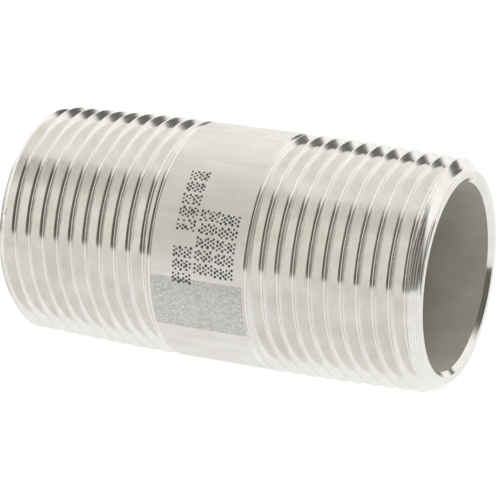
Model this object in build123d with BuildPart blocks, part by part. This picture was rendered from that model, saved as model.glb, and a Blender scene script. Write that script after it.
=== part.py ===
from build123d import *
import math
import os

# Threaded pipe nipple, 3/4 inch nominal, 2 inches long, with a right-hand taper pipe thread on both ends.
# Millimetres. The bore axis is X, the origin is halfway along it, and +Z is up.

# Pipe: 3/4 inch nominal, schedule 40
length = 50.8
pipe_radius = 26.67 / 2
wall = 2.87

# Taper pipe thread: 14 turns to the inch, 60 degree V, 1 in 16 on the diameter
pitch = 25.4 / 14
flank_angle = 30
taper = 1 / 32
root_radius = 11.565     # of the thread's cone at the end face
crest_radius = 12.90     # of the thread's cone at the end face
root_flat = 0.10
full_turns = 10.4        # at full depth, from the end face
runout_turns = 0.4       # over which the groove then rises to nothing
ring_position = 5.78     # along X, of the shallow ring that ends the thread against the plain middle
ring_depth = 0.40

# End faces
face_radius = 11.69      # outer edge of the narrow flat ring
chamfer_angle = 45
bore_bevel = 0.5

# Where each groove opens at its end face, in degrees up from the front (-Y) side
right_start = 13.7
left_start = 57.7

# Travel of the cutting tool, partly outside the pipe
travel_turns = 11        # at full depth, from outside the end face to the run-out
crest_clearance = 0.10   # of the tool's shoulders above the crests
tip_clearance = 0.05     # of the tool's tip above the pipe when the groove has risen to nothing

half = length / 2
bore_radius = pipe_radius - wall
chamfer_depth = (crest_radius - face_radius) / (math.tan(math.radians(chamfer_angle)) - taper)
chamfer_radius = crest_radius + chamfer_depth * taper
cone_depth = (pipe_radius - crest_radius) / taper

# Corners of the V tool, as (along the axis, outward) from the middle of its narrow flat tip
flank_slope = math.tan(math.radians(flank_angle))
tool_height = crest_radius - root_radius + crest_clearance
tip = root_flat / 2
shoulder = tip + tool_height * flank_slope
tool_corners = ((-tip, 0), (tip, 0), (shoulder, tool_height), (-shoulder, tool_height))

# The ring's narrow floor and its mouth at the pipe's surface
ring_floor = pipe_radius - ring_depth
ring_mouth = tip + ring_depth * flank_slope


def corner_helices(turn, turns, tip_radius, slope):
    """The right-hand helices of the tool's corners, from a turn counted inward from the +X end face."""
    cone = math.atan(slope)
    return [
        Helix(
            pitch / math.cos(cone),
            turns * pitch,
            tip_radius + outward,
            center=(half - turn * pitch + along, 0, 0),
            direction=(-1, 0, 0),
            cone_angle=math.degrees(cone),
        )
        for along, outward in tool_corners
    ]


def groove_tool():
    """The solid swept by the V tool in the thread of the +X end, its groove opening straight down (-Z)."""
    first_turn = full_turns - travel_turns
    spans = []
    for count in range(travel_turns):
        turn = first_turn + count
        spans.append(corner_helices(turn, 1, root_radius + turn * pitch * taper, taper))
    end_radius = root_radius + full_turns * pitch * taper
    runout_slope = (pipe_radius + tip_clearance - end_radius) / (runout_turns * pitch)
    spans.append(corner_helices(full_turns, runout_turns, end_radius, runout_slope))
    faces = []
    for span in spans:
        edges = [path.edge() for path in span]
        for edge, next_edge in zip(edges, edges[1:] + edges[:1]):
            faces.append(Face.make_surface_from_curves(edge, next_edge))
    for span, end in ((spans[0], 0), (spans[-1], 1)):
        faces.append(Face(Wire.make_polygon([path @ end for path in span], close=True)))
    return Solid(Shell(faces)).rotate(Axis.X, -360 * first_turn)


groove = groove_tool()

with BuildPart() as pipe_nipple:
    # Turned blank: bore, bevelled mouths, flat faces, chamfers, thread cones, end rings and plain middle
    with BuildSketch(Plane.XZ):
        with BuildLine():
            Polyline(
                (0, bore_radius),
                (half - bore_bevel, bore_radius),
                (half, bore_radius + bore_bevel),
                (half, face_radius),
                (half - chamfer_depth, chamfer_radius),
                (half - cone_depth, pipe_radius),
                (ring_position + ring_mouth, pipe_radius),
                (ring_position + tip, ring_floor),
                (ring_position - tip, ring_floor),
                (ring_position - ring_mouth, pipe_radius),
                (0, pipe_radius),
                close=True,
            )
        make_face()
        mirror(about=Plane.YZ)
    revolve(axis=Axis.X)
    # Threads: the same tool, turned end for end for the left one
    for turned, start_angle in ((0, right_start), (180, left_start)):
        add(groove, rotation=(-90 - start_angle, 0, turned), mode=Mode.SUBTRACT)

pipe_nipple.part.label = "pipe_nipple"

os.makedirs("parts", exist_ok=True)
export_step(pipe_nipple.part, "parts/pipe_nipple.step")
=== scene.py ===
"""Threaded pipe nipple: the machined surfaces and the ink marking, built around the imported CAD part.

Lengths are millimetres until a mesh is made. The bore's axis is X. Angles around it are degrees from the
front (-Y) side, upwards.
"""

import math

import bmesh
import bpy
import numpy as np
from mathutils import Matrix, Vector


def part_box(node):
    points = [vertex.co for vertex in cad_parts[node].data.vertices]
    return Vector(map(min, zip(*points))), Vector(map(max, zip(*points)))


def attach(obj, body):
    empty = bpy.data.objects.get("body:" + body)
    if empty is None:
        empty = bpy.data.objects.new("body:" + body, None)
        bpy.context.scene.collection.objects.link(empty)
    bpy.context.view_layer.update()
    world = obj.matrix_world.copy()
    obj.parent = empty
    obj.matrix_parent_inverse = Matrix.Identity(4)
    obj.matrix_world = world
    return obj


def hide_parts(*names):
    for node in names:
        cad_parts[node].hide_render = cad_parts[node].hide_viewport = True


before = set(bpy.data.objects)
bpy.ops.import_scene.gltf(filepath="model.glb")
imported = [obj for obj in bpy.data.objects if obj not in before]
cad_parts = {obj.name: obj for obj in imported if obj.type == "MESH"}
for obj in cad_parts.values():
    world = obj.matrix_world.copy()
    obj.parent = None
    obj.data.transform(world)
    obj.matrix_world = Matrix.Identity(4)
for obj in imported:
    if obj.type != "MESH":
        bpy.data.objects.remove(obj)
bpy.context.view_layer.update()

NODE = "pipe_nipple"
MM = 0.001

# ------------------------------------------------------------------ dimensions, as in the CAD part
box_low, box_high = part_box(NODE)
HALF = box_high.x / MM                          # half the length
PIPE_R = (box_high.z - box_low.z) / 2 / MM
WALL = 2.87
BORE_R = PIPE_R - WALL
INCH = 25.4
THREADS_PER_INCH = 14
PITCH = INCH / THREADS_PER_INCH
TAPER = 1 / 32                                  # rise of the radius for each mm along the thread
FLANK_ANGLE = math.radians(30)
FLANK = math.tan(FLANK_ANGLE)                   # a flank's width for each mm of its height
ROOT_R = 11.565                                 # the groove's floor at the end face
CREST_R = 12.90                                 # the cone of the crests, carried on to the end face
FACE_R = 11.69                                  # the outer edge of the end face
TIP = 0.05                                      # half the width of the groove's flat floor
FULL_TURNS = 10.4                               # turns before the groove starts to run out
RUNOUT_TURNS = 0.4
TIP_CLEARANCE = 0.05                            # how far outside the pipe the groove's floor ends
RING_X = 5.78                                   # the ring groove at each end of the plain middle
RING_DEPTH = 0.40
RING_MOUTH = TIP + RING_DEPTH * FLANK           # half its width at the pipe's surface
SHANK_END = RING_X - RING_MOUTH                 # where the plain middle ends
THREAD_START = RING_X + RING_MOUTH              # and where the threaded part starts
BORE_BEVEL = 0.5
CHAMFER_DEPTH = (CREST_R - FACE_R) / (1 - TAPER)
CREASE = HALF - CHAMFER_DEPTH                   # the edge between the chamfer and the crests
# each thread's side, the angle where its groove opens at the end face, and its way round going inwards
RIGHT = (1, 13.7, 1)
LEFT = (-1, 57.7, -1)

# ------------------------------------------------------------------ finish details
CREST_BREAK = 0.05          # width of the worn edge of the crests
CREST_WEAR = 0.02           # how far it is worn down
CREST_RAGGED = 0.014        # how far it wanders into the flank at most
RAGGED_LEAST = 0.15         # and the share of that which is always there
RAGGED_WAVES = 14           # how many waves its wandering is made of
RAGGED_FASTEST = 120        # and the most of them in one turn
CREST_SEED = 7
ROOT_ROUND = 0.16           # radius that the cutting teeth leave in the roots
ROOT_TOUCH = ROOT_ROUND * math.cos(FLANK_ANGLE)     # where that radius meets the flanks
GROOVE_DEEP = 0.03          # steel this far below the blank is part of a groove
SEAM_TOP = 1.0              # the weld seam, planished flat along the plain middle, between two angles
SEAM_BOTTOM = -27.0
SEAM_DEPTH = 0.02
SEAM_STEP = 0.6             # degrees over which its edges step down
SEAM_END_HIGH = 0.02        # its ends step down between these distances from the plain middle's ends
SEAM_END_LOW = 0.06

# ------------------------------------------------------------------ mesh lines and tolerances
COLUMNS = 288
JOIN_ANGLE = -165.0         # where the first and last columns meet, underneath at the back
LINE_TURNS = np.arange(13, -3, -1)      # more turns than the thread has, as those outside it are clipped away
FLANK_LINE = 0.3            # place of the line along the middle of a flank, as a share from root to mouth
GROOVE_LINES = 12           # lines for each turn of a groove, in the order that thread_rows gives them
MOUTH_LINES = (1, 9)        # those at its mouth
CREST_LINES = (0, 10, 11)   # and those on the crests beside it
NARROWEST_MOUTH = 0.22      # the mouth's lines are kept this far from a groove's centre as it runs out
CREASE_SNAP = 0.03          # a mouth this near the chamfer's edge is moved onto it
SHANK_LINES = 25
END_LINES = 3               # lines for each end face and bevel
BORE_LINES = 14
SAME_RADIUS = 1e-4
SAME_PLACE = 1e-6
MERGE = 0.0005              # vertices this near each other become one
SHARP_ANGLE = 32            # edges with a greater angle are sharp

THREAD, CREST, SHANK, SEAM, TURNED, FACED, BORE = range(7)

rng = np.random.default_rng(CREST_SEED)


def wobble(turns, most, count):
    """A smooth seeded random curve, from 0 to 1, along a thread's turns. Its waves never repeat in step."""
    total = sum(
        np.sin(2 * math.pi * rng.uniform(1, most) * turns + rng.uniform(0, 2 * math.pi)) for _ in range(count)
    )
    # two standard deviations of the sum, each way from its middle, fill the range
    return np.clip(0.5 + total / math.sqrt(8 * count), 0, 1)


def smooth_step(low, high, values):
    share = np.clip((values - low) / (high - low), 0, 1)
    return share * share * (3 - 2 * share)


def tip_radius(turn):
    """The groove's floor radius at a turn counted from the end face, and out of the pipe past the run-out."""
    full = ROOT_R + turn * PITCH * TAPER
    end = ROOT_R + FULL_TURNS * PITCH * TAPER
    rise = (turn - FULL_TURNS) / RUNOUT_TURNS
    running_out = end + rise * (PIPE_R + TIP_CLEARANCE - end)
    return np.where(rise < 0, full, np.where(rise < 1, running_out, 2 * PIPE_R))


def rounded_groove(off):
    """Height above a V groove's apex at a distance from its centre, with the cutting teeth's root radius."""
    arc = 2 * ROOT_ROUND - np.sqrt(np.maximum(ROOT_ROUND**2 - off**2, 0))
    return np.where(off < ROOT_TOUCH, arc, off / FLANK)


def mouth_offset(turn, way):
    """How far from a groove's centre its flank leaves the steel. The way is 1 inwards and -1 outwards."""
    apex = tip_radius(turn) - TIP / FLANK
    on_taper = (CREST_R + turn * PITCH * TAPER - apex) / (1 / FLANK - way * TAPER)
    on_chamfer = (FACE_R + turn * PITCH - apex) / (1 / FLANK - way)
    on_pipe = (PIPE_R - apex) * FLANK
    return np.maximum(np.minimum(np.minimum(on_taper, on_chamfer), on_pipe), NARROWEST_MOUTH)


def blank_radius(x):
    """The turned blank with its chamfers and end rings, before its threads are cut."""
    depth = HALF - np.abs(x)
    outside = np.minimum(FACE_R + depth, np.minimum(CREST_R + depth * TAPER, PIPE_R))
    ring = PIPE_R - RING_DEPTH - TIP / FLANK + rounded_groove(np.abs(np.abs(x) - RING_X))
    return np.minimum(outside, ring)


def groove_radius(x, angle, thread):
    """The surface of the nearest turn of a thread's groove. It is outside the pipe where there is none."""
    side, start, way = thread
    turns_in = (HALF - side * x) / PITCH
    turns_round = way * (angle - start) / 360
    whole = np.round(turns_in - turns_round)
    off = np.abs(turns_in - turns_round - whole) * PITCH
    return tip_radius(turns_round + whole) - TIP / FLANK + rounded_groove(off)


def outer_radius(x, angle):
    grooves = np.where(x > 0, groove_radius(x, angle, RIGHT), groove_radius(x, angle, LEFT))
    return np.minimum(blank_radius(x), grooves)


def column_angles():
    """Even steps round the pipe, with two columns moved to each border of the seam."""
    angles = JOIN_ANGLE + np.arange(COLUMNS + 1) * 360 / COLUMNS
    for border in (SEAM_BOTTOM, SEAM_TOP):
        after = int(np.searchsorted(angles, border))
        angles[after - 1] = border - SEAM_STEP / 2
        angles[after] = border + SEAM_STEP / 2
    return angles


def thread_rows(angles, thread):
    """Lines of vertices that follow one thread's helix, in the order of their places along X."""
    side, start, way = thread
    all_turns = way * (angles - start) / 360 + LINE_TURNS[:, None]
    wander = wobble(all_turns, RAGGED_FASTEST, RAGGED_WAVES)
    ragged = CREST_RAGGED * (RAGGED_LEAST + (1 - RAGGED_LEAST) * wander)
    rows = []
    for turn, nick in zip(all_turns, ragged):
        centre = HALF - turn * PITCH
        inner = mouth_offset(turn, 1) - nick
        outer = mouth_offset(turn, -1) - nick
        rows.extend(centre + offset for offset in (
            -inner - CREST_BREAK, -inner, -ROOT_TOUCH - (inner - ROOT_TOUCH) * FLANK_LINE, -ROOT_TOUCH,
            -ROOT_ROUND / 2, 0, ROOT_ROUND / 2,
            ROOT_TOUCH, ROOT_TOUCH + (outer - ROOT_TOUCH) * FLANK_LINE, outer, outer + CREST_BREAK, PITCH / 2,
        ))
    rows = np.clip(np.array(rows), THREAD_START, HALF)
    line_the_crease(rows, angles, thread)
    return rows if side > 0 else -rows[::-1]


def line_the_crease(rows, angles, thread):
    """Move one vertex of each column onto the chamfer's edge.

    It is a vertex at a groove's mouth if one is very near the edge, or else the nearest one on a crest. None
    is moved where the groove cuts the edge away.
    """
    line = np.arange(len(rows)) % GROOVE_LINES
    at_mouth, on_crest = np.isin(line, MOUTH_LINES), np.isin(line, CREST_LINES)
    side = thread[0]
    cut_away = groove_radius(side * CREASE, angles, thread) < CREST_R + CHAMFER_DEPTH * TAPER
    for column in range(rows.shape[1]):
        distance = np.abs(rows[:, column] - CREASE)
        to_mouth = np.where(at_mouth, distance, HALF)
        if to_mouth.min() < CREASE_SNAP:
            rows[np.argmin(to_mouth), column] = CREASE
        elif not cut_away[column]:
            rows[np.argmin(np.where(on_crest, distance, HALF)), column] = CREASE


def middle_rows(angles):
    """Lines of vertices that go straight round the plain middle and its two end rings."""
    offsets = (-RING_MOUTH, -ROOT_TOUCH, -ROOT_ROUND / 2, 0, ROOT_ROUND / 2, ROOT_TOUCH)
    ring = [RING_X + offset for offset in offsets]
    shank = np.linspace(-SHANK_END + CREST_BREAK, SHANK_END - CREST_BREAK, SHANK_LINES)
    places = [-x for x in ring[::-1]] + list(shank) + ring
    return np.repeat(np.array(places)[:, None], len(angles), axis=1)


def surface_detail(x, angle, radius, uncut):
    """Wear of the crest edges and the sunken seam. It only ever takes steel away."""
    inside_crest = np.zeros_like(radius, dtype=bool)
    inside_crest[1:-1] = uncut[1:-1] & uncut[:-2] & uncut[2:]
    threaded = (np.abs(x) > THREAD_START + SAME_PLACE) & (np.abs(x) < CREASE - SAME_PLACE)
    wear = np.where(uncut & ~inside_crest & threaded, CREST_WEAR, 0)
    plain = smooth_step(SHANK_END - SEAM_END_HIGH, SHANK_END - SEAM_END_LOW, np.abs(x))
    half_step = SEAM_STEP / 2
    seam = smooth_step(SEAM_BOTTOM - half_step, SEAM_BOTTOM + half_step, angle)
    seam = seam * smooth_step(SEAM_TOP + half_step, SEAM_TOP - half_step, angle)
    return radius - wear - SEAM_DEPTH * seam * plain


def outer_grid():
    """The outer surface's vertices as x, angle, radius and depth below the blank.

    Each of these is a line along the pipe by a column round it.
    """
    angles = column_angles()
    x = np.concatenate([thread_rows(angles, LEFT), middle_rows(angles), thread_rows(angles, RIGHT)])
    angle = np.repeat(angles[None, :], len(x), axis=0)
    radius = outer_radius(x, angle)
    blank = blank_radius(x)
    radius = surface_detail(x, angle, radius, radius >= blank - SAME_RADIUS)
    return x, angle, radius, blank - radius


def inside_places():
    """The x and radius of each line on the end faces, bevels and bore, from the right end leftwards."""
    bore_end = HALF - BORE_BEVEL
    right = [(HALF, (FACE_R + BORE_R + BORE_BEVEL) / 2), (HALF, BORE_R + BORE_BEVEL), (bore_end, BORE_R)]
    bore = [(place, BORE_R) for place in np.linspace(bore_end, -bore_end, BORE_LINES)[1:-1]]
    left = [(-place, inner) for place, inner in right[::-1]]
    return right + bore + left


def quad_kinds(x, angle, deep, outer_lines):
    """One kind of finish for each quad, from where its middle is."""
    def middle(values):
        rolled = np.roll(values, -1, axis=0)
        return (values[:, :-1] + values[:, 1:] + rolled[:, :-1] + rolled[:, 1:]) / 4

    from_centre, mid_deep, mid_angle = np.abs(middle(x)), middle(deep), np.degrees(middle(angle))
    plain = from_centre < SHANK_END
    kind = np.where(mid_deep > GROOVE_DEEP, THREAD, CREST)
    kind = np.where(from_centre < THREAD_START, THREAD, kind)
    kind = np.where(plain, SHANK, kind)
    kind = np.where(plain & (mid_angle > SEAM_BOTTOM) & (mid_angle < SEAM_TOP), SEAM, kind)
    kind = np.where((from_centre > CREASE) & (mid_deep < GROOVE_DEEP), TURNED, kind)
    kind[outer_lines - 1:] = FACED
    kind[outer_lines + END_LINES - 1:len(x) - END_LINES] = BORE
    return kind


def add_piece(name, mesh):
    for polygon in mesh.polygons:
        polygon.use_smooth = True
    piece = bpy.data.objects.new(name, mesh)
    bpy.context.scene.collection.objects.link(piece)
    return piece


def build_nipple():
    outer_x, outer_angle, outer_r, outer_deep = outer_grid()
    outer_lines, columns = outer_x.shape

    # the end faces, the bevels and the bore close the outer surface into one loop of lines
    inner_x, inner_r = (
        np.repeat(np.array(values)[:, None], columns, axis=1) for values in zip(*inside_places())
    )
    x = np.concatenate([outer_x, inner_x])
    radius = np.concatenate([outer_r, inner_r])
    deep = np.concatenate([outer_deep, np.zeros_like(inner_r)])
    angle = np.radians(np.repeat(outer_angle[:1], len(x), axis=0))
    points = np.stack([x, -radius * np.cos(angle), radius * np.sin(angle)], axis=-1) * MM

    line = np.arange(len(x))[:, None]
    column = np.arange(columns - 1)[None, :]
    after = (line + 1) % len(x)
    quads = np.stack([
        line * columns + column, line * columns + column + 1,
        after * columns + column + 1, after * columns + column,
    ], axis=-1)
    kinds = quad_kinds(x, angle, deep, outer_lines)

    mesh = bpy.data.meshes.new("nipple_body")
    mesh.from_pydata(points.reshape(-1, 3).tolist(), [], quads.reshape(-1, 4).tolist())
    mesh.polygons.foreach_set("material_index", kinds.reshape(-1).astype(np.int32))
    work = bmesh.new()
    work.from_mesh(mesh)
    bmesh.ops.remove_doubles(work, verts=work.verts, dist=MERGE * MM)
    bmesh.ops.dissolve_degenerate(work, edges=work.edges, dist=MERGE * MM)
    bmesh.ops.recalc_face_normals(work, faces=work.faces)
    work.to_mesh(mesh)
    work.free()
    piece = add_piece("nipple_body", mesh)
    mesh.set_sharp_from_angle(angle=math.radians(SHARP_ANGLE))
    return piece


# ------------------------------------------------------------------ materials
CUT_STEEL = (0.81, 0.795, 0.765)
MILL_STEEL = (0.75, 0.735, 0.705)
DRAWN_STEEL = (0.81, 0.795, 0.76)
SEAM_STEEL = (0.525, 0.515, 0.50)
FACE_STEEL = (0.77, 0.76, 0.725)
BORE_STEEL = (0.68, 0.672, 0.628)
THICK_INK = (0.045, 0.042, 0.040)
THIN_INK = (0.13, 0.125, 0.12)

# noises, as repeats a metre along X, Y and Z, then detail and, for the specks, roughness
TOOL_LINES = ((9000, 260, 260), 2.0)
FINE_TOOL_LINES = ((30000, 500, 500), 1.0)
MILL_GRAIN = ((500, 2200, 2200), 4.0)
DRAWN_STREAKS = ((70, 900, 900), 3.0)
CLOUDS = ((150, 330, 330), 3.0)
PITS = ((3500, 3500, 3500), 2.0)
SPECKS = ((2600, 4200, 4200), 5.0, 0.75)
ROUGH_PATCHES = ((90, 160, 160), 4.0)
STAINS = ((260, 420, 420), 5.0)
FEED_WANDER = ((1500, 90, 90), 2.0)
INK_BLOTCHES = ((2600, 2600, 2600), 3.0)

# the values of each noise between which its effect comes in
STREAK_SPAN = (0.34, 0.46)
CLOUD_SPAN = (0.38, 0.62)
PIT_SPAN = (0.30, 0.42)
SPECK_SPAN = (0.42, 0.60)
PATCH_SPAN = (0.3, 0.7)
STAIN_SPAN = (0.35, 0.65)
INK_SPAN = (0.3, 0.7)

FINE_SHARE = 0.5                    # height of the fine tool lines beside the others
STAIN_SHADE = (0.93, 0.925, 0.91)   # how dark the stains, streaks and clouds are
STREAK_SHADE = 0.82
CLOUD_SHADE = 0.86
STREAK_SHARE = 0.45                 # and how much of that shows at most
CLOUD_SHARE = 0.30
FEED = 0.22                         # pitch of the chamfer's feed lines
FEED_PHASE = 4.0                    # how far they wander, in radians
FEED_SPAN = (-0.1, 0.7)             # the part of their sine over which they turn matte


class Nodes:
    """Short calls that add nodes to one material or world and join them."""

    def __init__(self, tree):
        self.tree = tree
        tree.nodes.clear()

    def add(self, kind, inputs=(), **settings):
        node = self.tree.nodes.new(kind)
        for setting, value in settings.items():
            setattr(node, setting, value)
        for name, value in dict(inputs).items():
            if isinstance(value, bpy.types.NodeSocket):
                self.tree.links.new(value, node.inputs[name])
            else:
                node.inputs[name].default_value = value
        return node

    def place(self, scale):
        coordinates = self.add("ShaderNodeTexCoord")
        mapping = self.add("ShaderNodeMapping", {"Vector": coordinates.outputs["Object"], "Scale": scale})
        return mapping.outputs["Vector"]

    def noise(self, scale, detail, roughness=0.55):
        inputs = {"Vector": self.place(scale), "Scale": 1.0, "Detail": detail, "Roughness": roughness}
        return self.add("ShaderNodeTexNoise", inputs).outputs["Fac"]

    def span(self, value, limits, first=0.0, last=1.0, **settings):
        """The value mapped from its limits to first and last."""
        node = self.add("ShaderNodeMapRange", {
            "Value": value, "From Min": limits[0], "From Max": limits[1], "To Min": first, "To Max": last,
        }, **settings)
        return node.outputs["Result"]

    def math(self, operation, *values):
        return self.add("ShaderNodeMath", dict(enumerate(values)), operation=operation).outputs["Value"]

    def mix(self, share, first, second):
        """Two colours mixed by a share from 0 to 1."""
        colours = [each if isinstance(each, bpy.types.NodeSocket) else (*each, 1) for each in (first, second)]
        node = self.add("ShaderNodeMix", {0: share, 6: colours[0], 7: colours[1]}, data_type="RGBA")
        return node.outputs[2]

    def bump(self, height, distance, normal):
        """Relief of a height up to the distance in mm, on top of an earlier normal if there is one."""
        inputs = {"Height": height, "Strength": 1.0, "Distance": distance * MM}
        if normal:
            inputs["Normal"] = normal
        return self.add("ShaderNodeBump", inputs).outputs["Normal"]


def new_material(name):
    material = bpy.data.materials.new(name)
    material.use_nodes = True
    return material, Nodes(material.node_tree)


def shaded(colour, share):
    return tuple(channel * share for channel in colour)


def steel(
    name, colour, roughness, spread, turned=0.0, grain=0.0, streaks=0.0, pits=0.0, speckle=0.0, coarse=0.0
):
    """Stainless steel whose roughness varies by the spread each way.

    The heights of its circular tool lines, mill grain, drawn streaks and pits are turned, grain, streaks and
    pits, in mm. Its specks are lighter by the share speckle, and its feed lines are matte by the share coarse.
    """
    material, nodes = new_material(name)
    normal = None
    if turned:
        normal = nodes.bump(nodes.noise(*TOOL_LINES), turned, normal)
        normal = nodes.bump(nodes.noise(*FINE_TOOL_LINES), turned * FINE_SHARE, normal)
    if grain:
        normal = nodes.bump(nodes.noise(*MILL_GRAIN), grain, normal)
    if streaks:
        drawn = nodes.noise(*DRAWN_STREAKS)
        normal = nodes.bump(drawn, streaks, normal)
    if pits:
        normal = nodes.bump(nodes.span(nodes.noise(*PITS), PIT_SPAN), pits, normal)

    stained = tuple(channel * share for channel, share in zip(colour, STAIN_SHADE))
    tint = nodes.mix(nodes.span(nodes.noise(*STAINS), STAIN_SPAN), stained, colour)
    if streaks:
        streaky = nodes.span(drawn, STREAK_SPAN, STREAK_SHARE, 0.0)
        tint = nodes.mix(streaky, tint, shaded(colour, STREAK_SHADE))
        cloudy = nodes.span(nodes.noise(*CLOUDS), CLOUD_SPAN, 0.0, CLOUD_SHARE)
        tint = nodes.mix(cloudy, tint, shaded(colour, CLOUD_SHADE))
    if speckle:
        speckled = nodes.span(nodes.noise(*SPECKS), SPECK_SPAN)
        tint = nodes.mix(speckled, tint, shaded(colour, 1 + speckle))

    patches = nodes.noise(*ROUGH_PATCHES)
    inputs = {
        "Base Color": tint,
        "Metallic": 1.0,
        "Roughness": nodes.span(patches, PATCH_SPAN, roughness - spread, roughness + spread),
    }
    if coarse:
        in_turns = nodes.place((1 / (FEED * MM), 1, 1))
        along = nodes.add("ShaderNodeSeparateXYZ", {"Vector": in_turns}).outputs["X"]
        wander = nodes.math("MULTIPLY", nodes.noise(*FEED_WANDER), FEED_PHASE)
        feed = nodes.math("SINE", nodes.math("ADD", nodes.math("MULTIPLY", along, 2 * math.pi), wander))
        inputs["Metallic"] = nodes.span(feed, FEED_SPAN, 1.0, 1.0 - coarse)
    if normal:
        inputs["Normal"] = normal
    shader = nodes.add("ShaderNodeBsdfPrincipled", inputs)
    nodes.add("ShaderNodeOutputMaterial", {"Surface": shader.outputs["BSDF"]})
    return material


def ink_material():
    material, nodes = new_material("dried_ink")
    thinness = nodes.span(nodes.noise(*INK_BLOTCHES), INK_SPAN)
    shader = nodes.add("ShaderNodeBsdfPrincipled", {
        "Base Color": nodes.mix(thinness, THICK_INK, THIN_INK),
        "Roughness": 0.6,
        "Specular IOR Level": 0.3,
    })
    nodes.add("ShaderNodeOutputMaterial", {"Surface": shader.outputs["BSDF"]})
    return material


# ------------------------------------------------------------------ the ink marking
# Three rows of cells, each a simple generic halftone of sprayed dots.
INK_ROWS = ((-1.77, -1.2, 9), (0.85, 4.6, 5), (3.28, 3.8, 5))    # place along X, first angle, cells
INK_GAP = (0, 3)                    # the row and cell that is left empty
CELL_ANGLE = 6.3                    # from one cell to the next
DOTS_ROUND = 5                      # dots in a cell, round the pipe and along it
DOTS_ALONG = 7
DOT_PITCH_ROUND = 0.235
DOT_PITCH_ALONG = 0.33
DOT_STRAY_ROUND = 0.025             # how far a dot is from its place
DOT_STRAY_ALONG = 0.03
MISSING_DOTS = 0.03                 # share of the dots that are missing
DOT_R = 0.165
DOT_SIZES = (0.82, 1.12)            # how its radius varies, and its length round the pipe
DOT_STRETCHES = (0.75, 1.25)
DOT_HEIGHT = 0.012
DOT_ROOT = 0.004                    # how far its rim is sunk in the steel
SHOULDER_OUT = 0.8                  # the shoulder's radius and height, as shares of the dot's
SHOULDER_UP = 0.7
DOT_SIDES = 10
INK_SEED = 11


def build_ink():
    work = bmesh.new()
    spread = np.random.default_rng(INK_SEED)
    for row, (row_x, first_angle, cells) in enumerate(INK_ROWS):
        for cell in range(cells):
            if (row, cell) != INK_GAP:
                add_cell(work, spread, cell, row_x, math.radians(first_angle + cell * CELL_ANGLE))
    mesh = bpy.data.meshes.new("ink_marking")
    work.to_mesh(mesh)
    work.free()
    mesh.materials.append(ink_material())
    return add_piece("ink_marking", mesh)


def add_cell(work, spread, cell, row_x, start):
    """A chequer of dots, which starts with a dot in even cells and with a gap in odd ones."""
    for across in range(DOTS_ROUND):
        for down in range(DOTS_ALONG):
            if (across + down + cell) % 2 or spread.random() < MISSING_DOTS:
                continue
            x = row_x + (down - DOTS_ALONG // 2) * DOT_PITCH_ALONG + spread.normal(0, DOT_STRAY_ALONG)
            round_mm = across * DOT_PITCH_ROUND + spread.normal(0, DOT_STRAY_ROUND)
            size = DOT_R * spread.uniform(*DOT_SIZES)
            add_dot(work, x, start + round_mm / PIPE_R, size, spread.uniform(*DOT_STRETCHES))


def add_dot(work, x, angle, size, stretch):
    """One flattened drop on the pipe: a rim in the steel, a shoulder and a crown."""
    def vertex(out, turn, lift):
        along = x + size * out * math.cos(turn)
        there = angle + size * out * stretch * math.sin(turn) / PIPE_R
        radius = (PIPE_R + lift) * MM
        return work.verts.new((along * MM, -radius * math.cos(there), radius * math.sin(there)))

    turns = [2 * math.pi * side / DOT_SIDES for side in range(DOT_SIDES)]
    rim = [vertex(1.0, turn, -DOT_ROOT) for turn in turns]
    shoulder = [vertex(SHOULDER_OUT, turn, DOT_HEIGHT * SHOULDER_UP) for turn in turns]
    crown = vertex(0, 0, DOT_HEIGHT)
    for side in range(DOT_SIDES):
        after = (side + 1) % DOT_SIDES
        work.faces.new((rim[side], rim[after], shoulder[after], shoulder[side]))
        work.faces.new((shoulder[side], shoulder[after], crown))


# ------------------------------------------------------------------ studio
FLOOR_LEFT, FLOOR_RIGHT, FLOOR_FRONT, FLOOR_BACK = -1.5, 0.17, -0.35, 1.5    # metres
FLOOR_COLOUR = (1, 1, 0.995, 1)
FLOOR_LIGHT = 1.05

SOFTBOX = (1.18, 1.17, 1.15)
KEY_FAR = (1.06, 1.05, 1.01)
KEY_NEAR = (1.22, 1.21, 1.165)
CORNICE = (0.94, 0.93, 0.90)
FRONT_GAP = (0.125, 0.12, 0.095)
RIGHT_WALL = (0.15, 0.147, 0.13)
STAND = (0.12, 0.12, 0.115)

# Where the edges of these surfaces start and end, in x, y or z of the direction that a reflection looks. Top
# and bottom are in z, front and back in y, and left and right in x.
KEY_LEFT, KEY_MIDDLE, KEY_RIGHT = (-0.95, -0.80), (-0.62, -0.50), (-0.47, -0.43)
KEY_TOP, KEY_BACK = (0.84, 0.95), (-0.05, 0.10)
KEY_TILT = 0.06                     # how far its right edge leans to the right for each 1 upwards
CORNICE_BOTTOM, CORNICE_BACK = (0.66, 0.75), (-0.12, 0.0)
GAP_RIGHT, GAP_TOP, GAP_BACK = (0.0, 0.3), (0.93, 0.97), (-0.20, -0.05)
WALL_LEFT, WALL_TOP, WALL_BACK = (0.45, 0.55), (0.60, 0.63), (0.05, 0.40)
STAND_LEFT, STAND_RIGHT, STAND_FRONT = (0.20, 0.28), (0.53, 0.58), (0.6, 0.7)
STAND_BOTTOM, STAND_TOP = (0.05, 0.09), (0.25, 0.30)
STAND_SLANT = 0.4                   # how far its right edge leans to the left for each 1 upwards

AZIMUTH = 24.89
ELEVATION = 19.16
DISTANCE = 0.2881                   # metres from the origin to the camera
CAMERA_RIGHT = 0.00028              # and how far it is shifted to its right and down
CAMERA_DOWN = 0.00051
LENS = 184.1
SENSOR_WIDTH = 36
CLIP_START = 0.01


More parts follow.
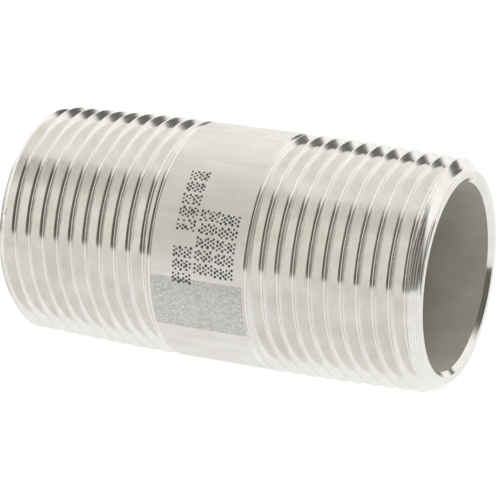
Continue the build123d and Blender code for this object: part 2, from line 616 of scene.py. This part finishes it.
def build_floor():
    mesh = bpy.data.meshes.new("floor")
    corners = [
        (FLOOR_LEFT, FLOOR_FRONT, box_low.z), (FLOOR_RIGHT, FLOOR_FRONT, box_low.z),
        (FLOOR_RIGHT, FLOOR_BACK, box_low.z), (FLOOR_LEFT, FLOOR_BACK, box_low.z),
    ]
    mesh.from_pydata(corners, [], [(0, 1, 2, 3)])
    material, nodes = new_material("lit_white_floor")
    glow = nodes.add("ShaderNodeEmission", {"Color": FLOOR_COLOUR, "Strength": FLOOR_LIGHT})
    nodes.add("ShaderNodeOutputMaterial", {"Surface": glow.outputs["Emission"]})
    mesh.materials.append(material)
    floor = bpy.data.objects.new("floor", mesh)
    bpy.context.scene.collection.objects.link(floor)


def build_studio_light():
    """A bright studio seen by reflection: a broad overhead softbox, white behind, and dimmer walls.

    The camera sees plain white instead.
    """
    world = bpy.data.worlds.new("studio")
    world.use_nodes = True
    bpy.context.scene.world = world
    nodes = Nodes(world.node_tree)
    coordinates = nodes.add("ShaderNodeTexCoord")
    split = nodes.add("ShaderNodeSeparateXYZ", {"Vector": coordinates.outputs["Generated"]})
    x, y, z = (split.outputs[name] for name in "XYZ")

    def above(value, limits):
        return nodes.span(value, limits, interpolation_type="SMOOTHSTEP")

    def below(value, limits):
        return nodes.math("SUBTRACT", 1.0, above(value, limits))

    def product(*values):
        total = values[0]
        for value in values[1:]:
            total = nodes.math("MULTIPLY", total, value)
        return total

    # a bright key light to the front left, up to about 60 degrees, and brighter near the camera
    tilted = nodes.math("SUBTRACT", x, nodes.math("MULTIPLY", z, KEY_TILT))
    key = product(below(z, KEY_TOP), below(y, KEY_BACK), above(x, KEY_LEFT), below(tilted, KEY_RIGHT))
    # a dimmer strip where it meets the overhead light
    cornice = product(key, above(z, CORNICE_BOTTOM), below(y, CORNICE_BACK))
    # a dim gap round the camera
    gap = product(below(z, GAP_TOP), below(y, GAP_BACK), above(tilted, KEY_RIGHT), below(x, GAP_RIGHT))
    # a darker wall to the right, up to about 38 degrees
    wall = product(below(z, WALL_TOP), below(y, WALL_BACK), above(x, WALL_LEFT))
    # a dark stand low down behind
    slant = nodes.math("ADD", x, nodes.math("MULTIPLY", z, STAND_SLANT))
    stand = product(
        above(z, STAND_BOTTOM), below(z, STAND_TOP), above(y, STAND_FRONT), above(x, STAND_LEFT),
        below(slant, STAND_RIGHT),
    )
    colour = nodes.mix(key, SOFTBOX, nodes.mix(above(x, KEY_MIDDLE), KEY_FAR, KEY_NEAR))
    for share, surface in ((cornice, CORNICE), (gap, FRONT_GAP), (wall, RIGHT_WALL), (stand, STAND)):
        colour = nodes.mix(share, colour, surface)
    reflected = nodes.add("ShaderNodeBackground", {"Color": colour, "Strength": 1.0})
    white = nodes.add("ShaderNodeBackground", {"Color": (1, 1, 1, 1), "Strength": 1.0})
    path = nodes.add("ShaderNodeLightPath")
    seen = nodes.add("ShaderNodeMixShader", {
        0: path.outputs["Is Camera Ray"], 1: reflected.outputs[0], 2: white.outputs[0],
    })
    nodes.add("ShaderNodeOutputWorld", {"Surface": seen.outputs[0]})


def build_camera():
    azimuth, elevation = math.radians(AZIMUTH), math.radians(ELEVATION)
    back = Vector((
        math.sin(azimuth) * math.cos(elevation), -math.cos(azimuth) * math.cos(elevation), math.sin(elevation)
    ))
    right = Vector((math.cos(azimuth), math.sin(azimuth), 0))
    up = back.cross(right)
    data = bpy.data.cameras.new("camera")
    data.lens = LENS
    data.sensor_width = SENSOR_WIDTH
    data.clip_start = CLIP_START
    camera = bpy.data.objects.new("camera", data)
    camera.matrix_world = Matrix((
        (right.x, up.x, back.x, 0), (right.y, up.y, back.y, 0), (right.z, up.z, back.z, 0), (0, 0, 0, 1),
    ))
    camera.location = back * DISTANCE + right * CAMERA_RIGHT - up * CAMERA_DOWN
    bpy.context.scene.collection.objects.link(camera)
    bpy.context.scene.camera = camera


# ------------------------------------------------------------------ the scene
nipple = build_nipple()
# each finish's colour, roughness, spread of roughness, and details in mm or as shares
finishes = {
    THREAD: steel("cut_thread_flank", CUT_STEEL, 0.14, 0.03, turned=0.001),
    CREST: steel("thread_crest", MILL_STEEL, 0.40, 0.05, turned=0.001),
    SHANK: steel("mill_finish", DRAWN_STEEL, 0.60, 0.05, grain=0.002, streaks=0.006),
    SEAM: steel("planished_seam", SEAM_STEEL, 0.60, 0.05, grain=0.002, pits=0.012, speckle=0.30),
    TURNED: steel("turned_end", CUT_STEEL, 0.12, 0.03, turned=0.001, coarse=0.5),
    FACED: steel("faced_end", FACE_STEEL, 0.12, 0.03, turned=0.001),
    BORE: steel("bore", BORE_STEEL, 0.85, 0.08, grain=0.002),
}
for kind in sorted(finishes):
    nipple.data.materials.append(finishes[kind])
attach(nipple, "root")
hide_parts(NODE)

ink = build_ink()
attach(ink, "root")

build_floor()
build_studio_light()
build_camera()
bpy.context.scene.view_settings.view_transform = "Standard"
